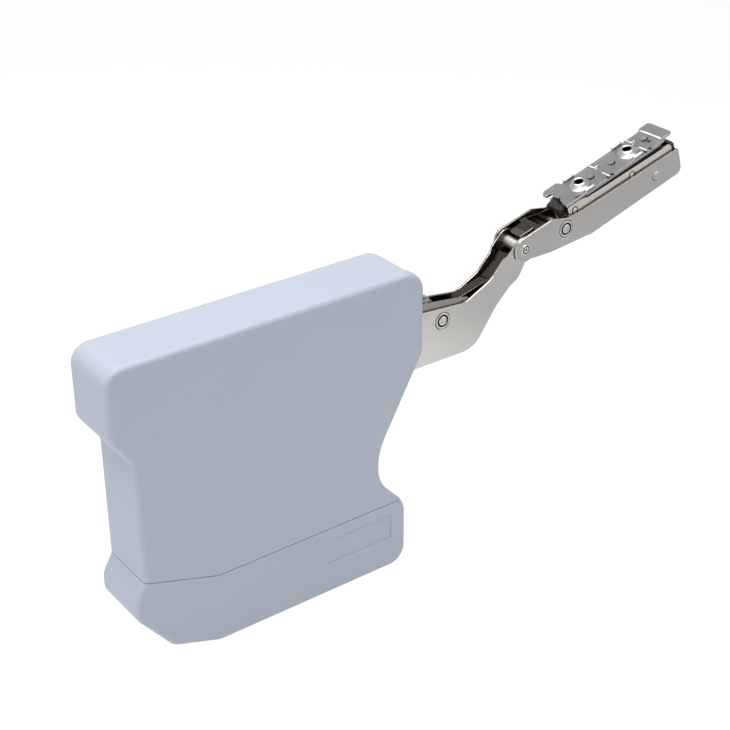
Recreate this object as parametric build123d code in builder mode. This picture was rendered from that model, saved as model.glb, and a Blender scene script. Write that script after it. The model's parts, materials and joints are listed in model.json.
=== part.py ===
from build123d import *
import os
from math import cos, radians, sin

# Cabinet lift support: a steel frame in a moulded cover, a folding steel arm on short
# crank links, and a clip-on plate for the door. Millimetres.
# X points to the front of the cabinet, Y to the cabinet's side panel, Z up.
# The origin is on the mounting face, in the middle of the housing.
# Depth is counted from the mounting face towards the inside of the cabinet, along -Y.

os.makedirs("parts", exist_ok=True)

# Housing cover, seen from inside the cabinet
LEFT_X = -77.3
RIGHT_X = 79.4
TOP_Z = 74.1
BOTTOM_Z = -75.3
HOUSING_DEPTH = 29.5
COVER_WALL = 2.0
COVER_RIM_DEPTH = 0.5
CORNER_CUT = 6.0
STEP_TOP_Z = 42.3
STEP_BOTTOM_Z = 28.4
WAIST_X = -67.7
SEAM_LEFT_Z = -29.0
SEAM_Z = -40.0
SEAM_BEND_X = -32.2
SEAM_GAP = 0.35
FOOT_LEFT_X = -72.6
FOOT_LEFT_TOP_Z = -37.5
FOOT_LEFT_LOW_Z = -46.5
FOOT_BEND_X = -56.0
FOOT_BEND_Z = -67.5
FOOT_TOE_X = -33.0
FOOT_RIGHT_X = 69.9
FOOT_RIGHT_TOP_Z = -43.0
NOTCH_X = 55.05
NOTCH_TOP_Z = -10.5
NOTCH_LOW_Z = -26.8
SHOULDER_Z = 33.2
FACE_FILLET = 2.4
FLANGE_GAP = 0.7
TOP_WALL_END_X = 72.6
TOP_WALL_CORNER = 5.0
NOTCH_FLANGE = 6.0
FOOT_OPEN_X = 55.5
LABEL_X = 43.2
LABEL_Z = -52.3
LABEL_LENGTH = 36.0
LABEL_HEIGHT = 13.0
LABEL_DEPTH = 0.35
LABEL_CORNER = 0.8

# Steel frame inside the cover
BACK_PLATE = 2.0
SIDE_PLATE = 1.5
SIDE_PLATE_GAP = 0.6
FRAME_GAP = 0.5
PILLAR_R = 3.5
PILLAR_PLACES = [(-62.0, 62.0), (-58.0, -20.0), (-24.0, -62.0), (44.0, -62.0), (66.0, 64.0)]
WINDOW_LENGTH = 52.0
WINDOW_HEIGHT = 26.0
WINDOW_CORNER = 6.0
WINDOW_PLACES = [(20.0, -16.0), (-38.0, 26.0)]
SCREW_HOLE_R = 2.4
SCREW_SPACING_X = 96.0
SCREW_SPACING_Z = 96.0
SCREW_MID_X = -8.0
SCREW_MID_Z = 4.0

# Pivots of the linkage in the open position, as (X, Z)
DRIVE_PIVOT = (59.8, 50.4)
GUIDE_PIVOT = (57.2, 56.5)
LEVER_PIVOT = (97.4, 39.8)
GUSSET_PIVOT = (89.5, 49.3)
CONTROL_PIVOT = (111.4, 43.2)
HINGE = (143.9, 63.3)
CHANNEL_PIVOT_ALONG = 25.06
CHANNEL_PIVOT_ABOVE = -3.5
DOOR_TILT = 16.8

# Layers across the arm, outwards from one middle plane
ARM_DEPTH = 15.0
LAYER_PLAY = 0.2
GUIDE_SHEET = 2.8
GUSSET_SHEET = 1.1
DRIVE_SHEET = 1.2
LEVER_SHEET = 1.2
LEVER_JOGGLE = 1.2
CHANNEL_SHEET = 1.2
BRACKET_SHEET = 1.1
CONTROL_SHEET = 1.3

# Pins, rivets and eyes
PIN_R = 2.5
SMALL_PIN_R = 2.0
GUSSET_PIN_R = 1.5
PIN_FIT = 0.05
GUSSET_PIN_PLAY = 0.8
CONTROL_PIN_PLAY = 1.3
EYE_WALL = 1.2
RIVET_HEAD_R = 3.0
RIVET_HEAD_RISE = 0.15
RIVET_RING_R = 4.4
RIVET_RING_DEPTH = 0.35
BARREL_R = 2.7
HINGE_HEAD_R = 2.75
HINGE_HEAD_RISE = 0.4
HINGE_HOLE_R = 1.0
DRIVE_EYE_R = 4.1
LEVER_EYE_R = 5.6
CONTROL_EYE_R = 3.9
TIP_EYE_R = 5.8
CHANNEL_EYE_R = 6.2
FORK_EYE_R = 5.3

# Main lever
LEVER_TAIL = 22.4
GUSSET_TOP = 5.4
GUSSET_LEAN = 4.0
LEVER_DROP = 20.1
WEB_REACH = 15.6
BEND_RAMP = 2.4
BEND_SLANT = 15.7

# Control link, measured along the door channel from the hinge
FORK_START = 9.6
STRAP_TOP = 5.2
STRAP_END = 12.5
SADDLE_DROP = 4.2

# Door end, measured along the door channel from the hinge
CHANNEL_END = 100.5
CHANNEL_HEIGHT = 14.9
WEB_START = 36.0
BRACKET_START = 29.3
BRACKET_END = 97.5
BRACKET_FLOOR = 9.0
BRACKET_BEND_ALONG = 46.0
BRACKET_BEND_ABOVE = 3.9
BLOCK_START = 38.5
BLOCK_END = 92.5
RELEASE_ALONG = 33.1
RELEASE_ABOVE = 2.0
RELEASE_PIN_R = 1.7
HOLE_PITCH = 32.0
FIRST_HOLE = 43.5
HOLE_TOP = 9.7
PLATE_TOP = 7.8
PLATE_SHEET = 1.2
PLATE_HALF = 7.9
PLATE_START = 28.0
PLATE_END = 91.3
PLATE_TAB = 2.8
TONGUE_END = 98.0
TONGUE_TOP = 9.3
DOOR_HOLE_R = 2.2
CONE_R = 5.2
CONE_TOP_R = 2.9
FLANGE_SHEET = 0.95
FLANGE_DROP = 1.6
LUG_LENGTH = 6.6
LUG_RISE = 1.1
RIB_WIDTH = 0.9
RIB_PLACES = [56.7, 81.7]
RIB_RISE = 0.5
RELEASE_HALF = 4.6

guide_half = GUIDE_SHEET / 2
gusset_inner = guide_half + LAYER_PLAY
gusset_half = gusset_inner + GUSSET_SHEET
drive_inner = gusset_half + LAYER_PLAY
drive_half = drive_inner + DRIVE_SHEET
lever_inner = drive_half + LAYER_PLAY
lever_half = lever_inner + LEVER_SHEET
tip_inner = lever_inner + LEVER_JOGGLE
tip_half = tip_inner + LEVER_SHEET
channel_inner = tip_half + LAYER_PLAY
channel_half = channel_inner + CHANNEL_SHEET
bracket_half = channel_inner - LAYER_PLAY
bracket_inner = bracket_half - BRACKET_SHEET
fork_half = channel_inner - 2 * LAYER_PLAY
fork_inner = fork_half - CONTROL_SHEET
strap_half = lever_inner - 2 * LAYER_PLAY
strap_inner = strap_half - CONTROL_SHEET
neck_half = drive_inner - LAYER_PLAY
flange_depth = ARM_DEPTH + channel_half + FLANGE_GAP
side_plate_depth = HOUSING_DEPTH - COVER_WALL - SIDE_PLATE_GAP - SIDE_PLATE


def side(depth):
    """Plane parallel to the mounting face, drawn as seen from inside the cabinet."""
    return Plane.XZ.offset(depth)


def beside(place, right, above):
    """Point (X, Z) to the right of and above another point."""
    return (place[0] + right, place[1] + above)


def around(place, radius, angle):
    """Point (X, Z) on a circle about a pivot, at an angle from the front direction."""
    return (place[0] + radius * cos(radians(angle)), place[1] + radius * sin(radians(angle)))


def at_hinge(along, above):
    """Point (X, Z) given along the door channel from the hinge and above its line."""
    c = cos(radians(DOOR_TILT))
    s = sin(radians(DOOR_TILT))
    return beside(HINGE, along * c - above * s, along * s + above * c)


CHANNEL_PIVOT = at_hinge(CHANNEL_PIVOT_ALONG, CHANNEL_PIVOT_ABOVE)


def pin(place, radius, start, length):
    """Round pin across the arm at one pivot, from one depth over a length."""
    with BuildPart() as round_pin:
        with BuildSketch(side(start)):
            with Locations(place):
                Circle(radius)
        extrude(amount=length)
    return round_pin


def cover_outline():
    """Closed outline of the moulded cover, clockwise from the top left corner."""
    FilletPolyline(
        (LEFT_X, TOP_Z),
        (RIGHT_X, TOP_Z),
        (RIGHT_X, SHOULDER_Z),
        (NOTCH_X, NOTCH_TOP_Z),
        (NOTCH_X, NOTCH_LOW_Z),
        (FOOT_RIGHT_X, FOOT_RIGHT_TOP_Z),
        (FOOT_RIGHT_X, BOTTOM_Z),
        (FOOT_TOE_X, BOTTOM_Z),
        (FOOT_BEND_X, FOOT_BEND_Z),
        (FOOT_LEFT_X, FOOT_LEFT_LOW_Z),
        (FOOT_LEFT_X, FOOT_LEFT_TOP_Z),
        (WAIST_X, SEAM_LEFT_Z),
        (WAIST_X, STEP_BOTTOM_Z),
        (LEFT_X, STEP_TOP_Z),
        radius=[8.0, 10.0, 9.0, 28.0, 20.0, 12.5, 9.0, 8.0, 8.0, 10.0, 10.0, 4.0, 5.0, 8.0],
        close=True,
    )


def frame_outline():
    """Outline of the cover with its square corners cut, for all that lies inside it."""
    Polyline(
        (LEFT_X + CORNER_CUT, TOP_Z),
        (RIGHT_X - CORNER_CUT, TOP_Z),
        (RIGHT_X, TOP_Z - CORNER_CUT),
        (RIGHT_X, SHOULDER_Z),
        (NOTCH_X, NOTCH_TOP_Z),
        (NOTCH_X, NOTCH_LOW_Z),
        (FOOT_RIGHT_X, FOOT_RIGHT_TOP_Z),
        (FOOT_RIGHT_X, BOTTOM_Z + CORNER_CUT),
        (FOOT_RIGHT_X - CORNER_CUT, BOTTOM_Z),
        (FOOT_TOE_X, BOTTOM_Z),
        (FOOT_BEND_X, FOOT_BEND_Z),
        (FOOT_LEFT_X, FOOT_LEFT_LOW_Z),
        (FOOT_LEFT_X, FOOT_LEFT_TOP_Z),
        (WAIST_X, SEAM_LEFT_Z),
        (WAIST_X, STEP_BOTTOM_Z),
        (LEFT_X, STEP_TOP_Z),
        (LEFT_X, TOP_Z - CORNER_CUT),
        close=True,
    )


def seam_region(above):
    """Area above or below the seam that parts the main cover from the lower cap."""
    shift = SEAM_GAP / 2 if above else -SEAM_GAP / 2
    reach = TOP_Z * 2 if above else BOTTOM_Z * 2
    run = SEAM_BEND_X - WAIST_X
    fall = SEAM_LEFT_Z - SEAM_Z
    Polyline(
        (WAIST_X - run, SEAM_LEFT_Z + fall + shift),
        (SEAM_BEND_X, SEAM_Z + shift),
        (RIGHT_X + run, SEAM_Z + shift),
        (RIGHT_X + run, reach),
        (WAIST_X - run, reach),
        close=True,
    )


# Whole cover shell, cut into its two mouldings below. The near face and its rounded
# edges face the room, and the front side is open for the arm behind a narrow flange.
with BuildPart() as shell:
    with BuildSketch(side(COVER_RIM_DEPTH)):
        with BuildLine():
            cover_outline()
        make_face()
    extrude(amount=HOUSING_DEPTH - COVER_RIM_DEPTH)
    near_face = shell.faces().sort_by(Axis.Y)[0]
    fillet(near_face.edges(), FACE_FILLET)
    with BuildSketch(side(COVER_RIM_DEPTH)):
        with BuildLine():
            frame_outline()
        make_face()
        offset(amount=-COVER_WALL, kind=Kind.INTERSECTION, mode=Mode.REPLACE)
    extrude(amount=HOUSING_DEPTH - COVER_RIM_DEPTH - COVER_WALL, mode=Mode.SUBTRACT)
    with BuildSketch(side(0)):
        with BuildLine():
            Polyline(
                (TOP_WALL_END_X, TOP_Z + COVER_WALL),
                (TOP_WALL_END_X, SHOULDER_Z),
                (NOTCH_X - NOTCH_FLANGE, NOTCH_TOP_Z),
                (NOTCH_X - NOTCH_FLANGE, SEAM_Z),
                (FOOT_OPEN_X, SEAM_Z - COVER_WALL),
                (FOOT_OPEN_X, BOTTOM_Z - COVER_WALL),
                (RIGHT_X + COVER_WALL, BOTTOM_Z - COVER_WALL),
                (RIGHT_X + COVER_WALL, TOP_Z + COVER_WALL),
                close=True,
            )
        make_face()
    extrude(amount=flange_depth, mode=Mode.SUBTRACT)
    with BuildSketch(Plane.XY.offset(TOP_Z)):
        with Locations((TOP_WALL_END_X, 0)):
            Rectangle(2 * TOP_WALL_CORNER, 2 * (TOP_WALL_CORNER + COVER_RIM_DEPTH))
        with Locations((TOP_WALL_END_X - TOP_WALL_CORNER, -TOP_WALL_CORNER - COVER_RIM_DEPTH)):
            Circle(TOP_WALL_CORNER, mode=Mode.SUBTRACT)
    extrude(amount=-2 * COVER_WALL, mode=Mode.SUBTRACT)

with BuildPart() as main_cover:
    add(shell.part)
    with BuildSketch(side(0)):
        with BuildLine():
            seam_region(True)
        make_face()
    extrude(amount=HOUSING_DEPTH + COVER_WALL, mode=Mode.INTERSECT)

with BuildPart() as lower_cap:
    add(shell.part)
    with BuildSketch(side(0)):
        with BuildLine():
            seam_region(False)
        make_face()
    extrude(amount=HOUSING_DEPTH + COVER_WALL, mode=Mode.INTERSECT)
    with BuildSketch(side(HOUSING_DEPTH)):
        with Locations((LABEL_X, LABEL_Z)):
            RectangleRounded(LABEL_LENGTH, LABEL_HEIGHT, LABEL_CORNER)
    extrude(amount=-LABEL_DEPTH, mode=Mode.SUBTRACT)

# Back plate: the flat steel plate that screws to the cabinet side and carries everything.
with BuildPart() as back_plate:
    with BuildSketch(side(0)):
        with BuildLine():
            frame_outline()
        make_face()
        offset(amount=-COVER_WALL - FRAME_GAP, kind=Kind.INTERSECTION, mode=Mode.REPLACE)
        with Locations((SCREW_MID_X, SCREW_MID_Z)):
            with GridLocations(SCREW_SPACING_X, SCREW_SPACING_Z, 2, 2):
                Circle(SCREW_HOLE_R, mode=Mode.SUBTRACT)
    extrude(amount=BACK_PLATE)

# Side plate: the second frame plate, just under the near face of the cover.
with BuildPart() as side_plate:
    with BuildSketch(side(side_plate_depth)):
        with BuildLine():
            frame_outline()
        make_face()
        offset(amount=-COVER_WALL - FACE_FILLET, kind=Kind.INTERSECTION, mode=Mode.REPLACE)
        with Locations(*WINDOW_PLACES):
            RectangleRounded(WINDOW_LENGTH, WINDOW_HEIGHT, WINDOW_CORNER, mode=Mode.SUBTRACT)
    extrude(amount=SIDE_PLATE)

# Pillars: hexagon spacers that hold the two frame plates apart.
pillar_length = side_plate_depth - BACK_PLATE
pillars = []
for number, place in enumerate(PILLAR_PLACES, 1):
    with BuildPart() as pillar:
        with BuildSketch(side(BACK_PLATE)):
            with Locations(place):
                RegularPolygon(PILLAR_R, 6)
        extrude(amount=pillar_length)
    pillar.part.label = f"frame_pillar_{number}"
    pillars.append(pillar)

# Fixed pivots: one long pin for the guide link and a short stub on each side for the
# drive link, because the guide link sweeps across the middle.
guide_pin = pin(GUIDE_PIVOT, SMALL_PIN_R, BACK_PLATE, pillar_length)
drive_stub_far = pin(DRIVE_PIVOT, PIN_R, BACK_PLATE, ARM_DEPTH - drive_inner - BACK_PLATE)
drive_stub_near = pin(DRIVE_PIVOT, PIN_R, ARM_DEPTH + drive_inner, side_plate_depth - ARM_DEPTH - drive_inner)

# Drive link: two three-hole plates that carry the arm and steer the control link.
drive_plates = []
for name, start in (
    ("drive_plate_far", ARM_DEPTH - drive_half),
    ("drive_plate_near", ARM_DEPTH + drive_inner),
):
    with BuildPart() as drive_plate:
        with BuildSketch(side(start)):
            with Locations(DRIVE_PIVOT):
                Circle(DRIVE_EYE_R)
            with Locations(LEVER_PIVOT):
                Circle(LEVER_EYE_R)
            with Locations(CONTROL_PIVOT):
                Circle(CONTROL_EYE_R)
            make_hull()
            with Locations(DRIVE_PIVOT, LEVER_PIVOT):
                Circle(PIN_R + PIN_FIT, mode=Mode.SUBTRACT)
            with Locations(CONTROL_PIVOT):
                Circle(SMALL_PIN_R, mode=Mode.SUBTRACT)
        extrude(amount=DRIVE_SHEET)
    drive_plate.part.label = name
    drive_plates.append(drive_plate)

control_pin = pin(CONTROL_PIVOT, SMALL_PIN_R, ARM_DEPTH - drive_half, 2 * drive_half)

# Guide link: single thick link in the middle plane.
with BuildPart() as guide_link:
    with BuildSketch(side(ARM_DEPTH - guide_half)):
        with Locations(GUIDE_PIVOT):
            Circle(SMALL_PIN_R + PIN_FIT + 2 * EYE_WALL)
        with Locations(GUSSET_PIVOT):
            Circle(GUSSET_PIN_R + GUSSET_PIN_PLAY + EYE_WALL)
        make_hull()
        with Locations(GUIDE_PIVOT):
            Circle(SMALL_PIN_R + PIN_FIT, mode=Mode.SUBTRACT)
        with Locations(GUSSET_PIVOT):
            Circle(GUSSET_PIN_R + GUSSET_PIN_PLAY, mode=Mode.SUBTRACT)
    extrude(amount=GUIDE_SHEET)


def lever_outline():
    """Side view of the main lever: flat belly, S-curve and round eye at the hinge."""
    FilletPolyline(
        beside(LEVER_PIVOT, -LEVER_TAIL, 8.2),
        beside(LEVER_PIVOT, 13.1, 5.3),
        beside(HINGE, -18.6, -11.2),
        around(HINGE, TIP_EYE_R, 133.0),
        around(HINGE, TIP_EYE_R, -30.0),
        beside(HINGE, -1.6, -14.9),
        beside(HINGE, -6.4, -17.5),
        beside(HINGE, -14.3, -24.9),
        beside(LEVER_PIVOT, 18.9, -LEVER_DROP),
        beside(LEVER_PIVOT, -LEVER_TAIL, -LEVER_DROP),
        radius=[5.0, 12.0, 14.0, 0.0, 0.0, 5.0, 12.0, 40.0, 13.0, 6.0],
        close=True,
    )


# Main lever: an S-shaped channel, open at the top, with its web along the flat belly.
# Its two walls are joggled outwards along a slanting bend line below the hinge.
bend_plane = Plane(
    origin=(HINGE[0] - 2.95, -ARM_DEPTH, HINGE[1] - 5.4),
    x_dir=(sin(radians(BEND_SLANT)), 0, cos(radians(BEND_SLANT))),
    z_dir=(cos(radians(BEND_SLANT)), 0, -sin(radians(BEND_SLANT))),
)
with BuildPart() as main_lever:
    with BuildSketch(bend_plane) as lever_walls:
        with BuildLine():
            Polyline(
                (-2 * LEVER_TAIL - HINGE[0], lever_inner),
                (0, lever_inner),
                (BEND_RAMP, tip_inner),
                (4 * TIP_EYE_R, tip_inner),
                (4 * TIP_EYE_R, tip_half),
                (BEND_RAMP, tip_half),
                (0, lever_half),
                (-2 * LEVER_TAIL - HINGE[0], lever_half),
                close=True,
            )
        make_face()
        mirror(about=Plane.XZ)
    extrude(amount=HINGE[0], both=True)
    with BuildSketch(side(ARM_DEPTH - channel_half)):
        with BuildLine():
            lever_outline()
        make_face()
        with Locations(HINGE):
            Circle(TIP_EYE_R)
    extrude(amount=2 * channel_half, mode=Mode.INTERSECT)
    with BuildSketch(side(ARM_DEPTH - lever_half)):
        with BuildLine():
            Polyline(
                beside(LEVER_PIVOT, -LEVER_TAIL + 6.0, -LEVER_DROP),
                beside(LEVER_PIVOT, WEB_REACH - 4.0, -LEVER_DROP),
                beside(LEVER_PIVOT, WEB_REACH - 4.0, -LEVER_DROP + LEVER_SHEET),
                beside(LEVER_PIVOT, -LEVER_TAIL + 6.0, -LEVER_DROP + LEVER_SHEET),
                close=True,
            )
        make_face()
    extrude(amount=2 * lever_half)
    with BuildSketch(Plane.XY.offset(LEVER_PIVOT[1] - LEVER_DROP)):
        with Locations((LEVER_PIVOT[0] + 3.1, -ARM_DEPTH)):
            RectangleRounded(13.0, 2 * (neck_half + 3 * LAYER_PLAY), 1.5)
    extrude(amount=3 * LEVER_SHEET, mode=Mode.SUBTRACT)
    with BuildSketch(side(ARM_DEPTH)):
        with Locations(LEVER_PIVOT):
            Circle(PIN_R)
        with Locations(HINGE):
            Circle(SMALL_PIN_R)
    extrude(amount=channel_half, both=True, mode=Mode.SUBTRACT)
    with BuildSketch(side(ARM_DEPTH + lever_half - RIVET_RING_DEPTH)):
        with Locations(LEVER_PIVOT):
            Circle(RIVET_RING_R)
    extrude(amount=RIVET_RING_DEPTH, mode=Mode.SUBTRACT)

# Gusset: a narrow bracket on the lever's web that holds the guide link's pivot between
# the two drive plates.
with BuildPart() as lever_gusset:
    with BuildSketch(side(ARM_DEPTH - gusset_half)):
        with Locations(GUSSET_PIVOT):
            Circle(GUSSET_PIN_R + EYE_WALL)
        with BuildLine():
            Polyline(
                beside(LEVER_PIVOT, 1.6, GUSSET_TOP),
                beside(LEVER_PIVOT, -GUSSET_LEAN, -LEVER_DROP + LEVER_SHEET),
                beside(LEVER_PIVOT, -15.0, -LEVER_DROP + LEVER_SHEET),
                close=True,
            )
        make_face()
        make_hull()
        with Locations(GUSSET_PIVOT):
            Circle(GUSSET_PIN_R, mode=Mode.SUBTRACT)
        with Locations(LEVER_PIVOT):
            Circle(PIN_R + LAYER_PLAY, mode=Mode.SUBTRACT)
    extrude(amount=2 * gusset_half)
    with BuildSketch(side(ARM_DEPTH - gusset_inner)):
        with Locations(beside(LEVER_PIVOT, 0, 2 * GUSSET_SHEET)):
            Rectangle(4 * LEVER_TAIL, 2 * (LEVER_DROP - LEVER_SHEET))
    extrude(amount=2 * gusset_inner, mode=Mode.SUBTRACT)

gusset_pin = pin(GUSSET_PIVOT, GUSSET_PIN_R, ARM_DEPTH - gusset_half, 2 * gusset_half)


def headed_rivet(place, half):
    """Rivet across the arm with a flat round head that stands in a ring on the near side."""
    with BuildPart() as rivet:
        with BuildSketch(side(ARM_DEPTH - half)):
            with Locations(place):
                Circle(PIN_R)
        extrude(amount=2 * half)
        with BuildSketch(side(ARM_DEPTH + half - RIVET_RING_DEPTH)):
            with Locations(place):
                Circle(RIVET_HEAD_R)
        extrude(amount=RIVET_RING_DEPTH + RIVET_HEAD_RISE)
    return rivet


lever_rivet = headed_rivet(LEVER_PIVOT, lever_half)
link_rivet = headed_rivet(CHANNEL_PIVOT, channel_half)

# Control link: pressed strap from the drive plates to the door channel. Its neck turns
# between the drive plates, its middle is a channel with the web on top and a saddle for
# the hinge barrel, and its fork carries the rivet in the door channel.
with BuildPart() as control_link:
    with BuildSketch(side(ARM_DEPTH - fork_half)):
        with Locations(CHANNEL_PIVOT):
            Circle(FORK_EYE_R)
        with BuildLine():
            Polyline(
                at_hinge(FORK_START, STRAP_TOP),
                at_hinge(STRAP_END, STRAP_TOP),
                at_hinge(CHANNEL_PIVOT_ALONG, CHANNEL_PIVOT_ABOVE + FORK_EYE_R),
                at_hinge(CHANNEL_PIVOT_ALONG, CHANNEL_PIVOT_ABOVE - FORK_EYE_R),
                at_hinge(FORK_START, 0.0),
                close=True,
            )
        make_face()
    extrude(amount=2 * fork_half)
    with BuildSketch(side(ARM_DEPTH - fork_inner)):
        with BuildLine():
            Polyline(
                at_hinge(STRAP_END, 2 * STRAP_TOP),
                at_hinge(STRAP_END, STRAP_TOP - CONTROL_SHEET),
                at_hinge(0.0, STRAP_TOP - CONTROL_SHEET),
                at_hinge(0.0, -2 * CHANNEL_EYE_R),
                at_hinge(2 * CHANNEL_PIVOT_ALONG, -2 * CHANNEL_EYE_R),
                at_hinge(2 * CHANNEL_PIVOT_ALONG, 2 * STRAP_TOP),
                close=True,
            )
        make_face()
    extrude(amount=2 * fork_inner, mode=Mode.SUBTRACT)
    with BuildSketch(side(ARM_DEPTH - strap_half)):
        with BuildLine():
            FilletPolyline(
                beside(CONTROL_PIVOT, 10.0, 3.2),
                at_hinge(-6.3, -0.5),
                at_hinge(-3.4, -SADDLE_DROP),
                at_hinge(3.1, -SADDLE_DROP),
                at_hinge(4.4, STRAP_TOP),
                at_hinge(STRAP_END, STRAP_TOP),
                at_hinge(STRAP_END, -6.6),
                beside(CONTROL_PIVOT, 11.5, 1.6),
                radius=[0.0, 1.0, 1.5, 2.0, 1.0, 0.0, 6.0, 0.0],
                close=True,
            )
        make_face()
    extrude(amount=2 * strap_half)
    with BuildSketch(side(ARM_DEPTH - strap_inner)):
        with BuildLine():
            Polyline(
                beside(CONTROL_PIVOT, 10.0, 3.2 - 1.5 * CONTROL_SHEET),
                at_hinge(-6.3, -0.5 - 1.5 * CONTROL_SHEET),
                at_hinge(4.4 + CONTROL_SHEET, STRAP_TOP - CONTROL_SHEET),
                at_hinge(2 * STRAP_END, STRAP_TOP - CONTROL_SHEET),
                at_hinge(2 * STRAP_END, -2 * CHANNEL_EYE_R),
                beside(CONTROL_PIVOT, 14.0, -8.0),
                close=True,
            )
        make_face()
    extrude(amount=2 * strap_inner, mode=Mode.SUBTRACT)
    with BuildSketch(side(ARM_DEPTH - neck_half)):
        with Locations(CONTROL_PIVOT):
            Circle(SMALL_PIN_R + CONTROL_PIN_PLAY + EYE_WALL)
        with Locations(beside(CONTROL_PIVOT, 15.0, 5.6)):
            Circle(2 * EYE_WALL)
        make_hull()
    extrude(amount=2 * neck_half)
    with BuildSketch(side(ARM_DEPTH)):
        with Locations(CONTROL_PIVOT):
            Circle(SMALL_PIN_R + CONTROL_PIN_PLAY)
        with Locations(CHANNEL_PIVOT):
            Circle(PIN_R + PIN_FIT)
    extrude(amount=channel_half, both=True, mode=Mode.SUBTRACT)


def channel_outline():
    """Side view of the door channel: eye, waist and long straight box."""
    corners = [
        (-1.5, CHANNEL_EYE_R),
        (18.8, 5.9),
        (27.0, 1.7),
        (WEB_START, 0.35),
        (CHANNEL_END, -1.4),
        (CHANNEL_END, -CHANNEL_HEIGHT),
        (WEB_START + 2.5, -CHANNEL_HEIGHT),
        (WEB_START, 0.7 - CHANNEL_HEIGHT),
        (14.0, -10.0),
        (1.5, -CHANNEL_EYE_R),
    ]
    FilletPolyline(
        *[at_hinge(*corner) for corner in corners],
        radius=[2.0, 5.0, 6.0, 4.0, 1.5, 3.5, 0.8, 0.8, 20.0, 2.0],
        close=True,
    )


# Door channel: long U-shaped channel, closed at its tip, whose ears straddle the tip of
# the main lever.
with BuildPart() as door_channel:
    with BuildSketch(side(ARM_DEPTH - channel_half)):
        with BuildLine():
            channel_outline()
        make_face()
        with Locations(HINGE):
            Circle(CHANNEL_EYE_R)
    extrude(amount=2 * channel_half)
    with BuildSketch(side(ARM_DEPTH - channel_inner)):
        with BuildLine():
            FilletPolyline(
                at_hinge(-4 * CHANNEL_EYE_R, 2 * CHANNEL_HEIGHT),
                at_hinge(-4 * CHANNEL_EYE_R, -2 * CHANNEL_HEIGHT),
                at_hinge(WEB_START, -2 * CHANNEL_HEIGHT),
                at_hinge(WEB_START, CHANNEL_SHEET - CHANNEL_HEIGHT + 0.7),
                at_hinge(WEB_START + 2.5, CHANNEL_SHEET - CHANNEL_HEIGHT),
                at_hinge(CHANNEL_END - CHANNEL_SHEET, CHANNEL_SHEET - CHANNEL_HEIGHT),
                at_hinge(CHANNEL_END - CHANNEL_SHEET, 2 * CHANNEL_HEIGHT),
                radius=[0.0, 0.0, 0.0, 0.8, 0.8, 2.3, 0.0],
                close=True,
            )
        make_face()
    extrude(amount=2 * channel_inner, mode=Mode.SUBTRACT)
    with BuildSketch(side(ARM_DEPTH)):
        with Locations(HINGE):
            Circle(SMALL_PIN_R + PIN_FIT)
        with Locations(CHANNEL_PIVOT):
            Circle(PIN_R)
    extrude(amount=channel_half, both=True, mode=Mode.SUBTRACT)
    with BuildSketch(side(ARM_DEPTH + channel_half - RIVET_RING_DEPTH)):
        with Locations(CHANNEL_PIVOT):
            Circle(RIVET_RING_R)
    extrude(amount=RIVET_RING_DEPTH, mode=Mode.SUBTRACT)

# Hinge: hollow rivet through both, and the bright spacer barrel between the lever ears.
with BuildPart() as hinge_barrel:
    with BuildSketch(side(ARM_DEPTH - tip_inner)):
        with Locations(HINGE):
            Circle(BARREL_R)
            Circle(SMALL_PIN_R, mode=Mode.SUBTRACT)
    extrude(amount=2 * tip_inner)

with BuildPart() as hinge_rivet:
    with BuildSketch(side(ARM_DEPTH - channel_half)):
        with Locations(HINGE):
            Circle(SMALL_PIN_R)
    extrude(amount=2 * channel_half)
    with BuildSketch(side(ARM_DEPTH - channel_half - HINGE_HEAD_RISE), side(ARM_DEPTH + channel_half)):
        with Locations(HINGE):
            Circle(HINGE_HEAD_R)
    extrude(amount=HINGE_HEAD_RISE)
    with BuildSketch(side(ARM_DEPTH)):
        with Locations(HINGE):
            Circle(HINGE_HOLE_R)
    extrude(amount=channel_half + HINGE_HEAD_RISE, both=True, mode=Mode.SUBTRACT)

# Clip bracket: inner channel that slides in the door channel and shows as a narrow
# strip above its edge.
with BuildPart() as clip_bracket:
    with BuildSketch(side(ARM_DEPTH - bracket_half)):
        with BuildLine():
            FilletPolyline(
                at_hinge(BRACKET_START, 5.5),
                at_hinge(38.0, 5.2),
                at_hinge(BRACKET_BEND_ALONG, BRACKET_BEND_ABOVE),
                at_hinge(BRACKET_END, 2.4),
                at_hinge(BRACKET_END, -BRACKET_FLOOR),
                at_hinge(BRACKET_START + 3.4, -BRACKET_FLOOR),
                at_hinge(BRACKET_START + 1.9, -3.5),
                at_hinge(BRACKET_START, 1.2),
                radius=[1.8, 3.0, 6.0, 2.0, 0.0, 0.0, 0.0, 1.8],
                close=True,
            )
        make_face()
    extrude(amount=2 * bracket_half)
    with BuildSketch(side(ARM_DEPTH - bracket_inner)):
        with BuildLine():
            Polyline(
                at_hinge(0, 2 * CHANNEL_HEIGHT),
                at_hinge(0, -2 * CHANNEL_HEIGHT),
                at_hinge(WEB_START, -2 * CHANNEL_HEIGHT),
                at_hinge(WEB_START, BRACKET_SHEET - BRACKET_FLOOR),
                at_hinge(CHANNEL_END, BRACKET_SHEET - BRACKET_FLOOR),
                at_hinge(CHANNEL_END, 2 * CHANNEL_HEIGHT),
                close=True,
            )
        make_face()
    extrude(amount=2 * bracket_inner, mode=Mode.SUBTRACT)

# Release pin: short pin between the bracket's cheeks that the release lever swings on.
release_place = at_hinge(RELEASE_ALONG, RELEASE_ABOVE)
release_pin = pin(release_place, RELEASE_PIN_R, ARM_DEPTH - bracket_inner, 2 * bracket_inner)

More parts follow.
